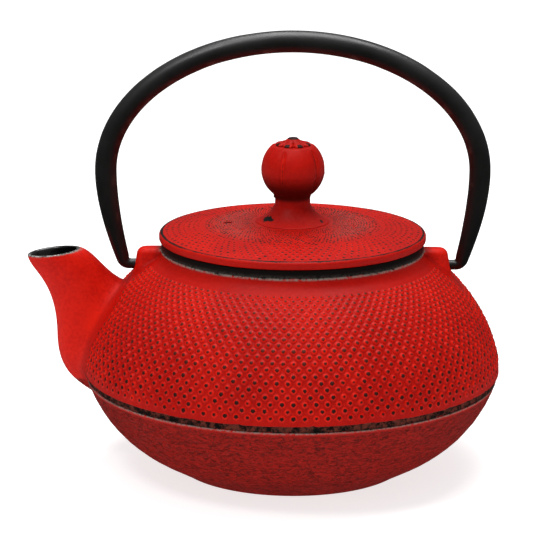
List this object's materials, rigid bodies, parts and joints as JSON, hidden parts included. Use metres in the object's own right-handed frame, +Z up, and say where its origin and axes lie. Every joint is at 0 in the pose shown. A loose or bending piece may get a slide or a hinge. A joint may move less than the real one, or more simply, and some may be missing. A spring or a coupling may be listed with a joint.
{
  "type": "teapot",
  "caption": "Squat hobnailed cast iron teapot with a short spout, a domed lid on a ball knob, a swinging bail handle and a lift-out wire infuser.",
  "frame": {"origin": "centre of the flat foot, on the plane the pot stands on", "axes": "+Z up, spout towards -X, the handle's pivots lie along X"},
  "size_m": [0.1689, 0.1488, 0.1576],
  "materials": {
    "red_iron": "red paint rubbed through to black on the raised dots, black enamel inside",
    "black_iron": "semi-gloss black lacquer",
    "stainless": "satin sheet and woven wire",
    "fixing_steel": "dull, dipped in black enamel with the lid"
  },
  "bodies": {
    "pot": {"pot_belly": "red_iron", "pot_shoulder": "red_iron", "pot_spout": "red_iron"},
    "lid": {"lid": "red_iron", "lid_knob": "red_iron", "knob_washer": "fixing_steel", "knob_rivet": "fixing_steel"},
    "handle": {"bail_handle": "black_iron"},
    "infuser": {"infuser_rim": "stainless", "infuser_wall": "stainless", "infuser_seam_strip": "stainless", "infuser_base_ring": "stainless", "infuser_base_mesh": "stainless"}
  },
  "joints": [
    {"name": "handle_swing", "type": "hinge", "parent": "pot", "child": "handle", "pos_m": [0, 0, 0.07347], "axis": [1, 0, 0], "range_deg": [-106, 106]},
    {"name": "lid_lift", "type": "slide", "parent": "pot", "child": "lid", "axis": [0, 0, 1], "range_m": [0, 0.028]},
    {"name": "infuser_lift", "type": "slide", "parent": "pot", "child": "infuser", "axis": [0, 0, 1], "range_m": [0, 0.0168]}
  ],
  "couplings": [
    {"joint": "infuser_lift", "follows": "lid_lift", "ratio": 0.6}
  ]
}
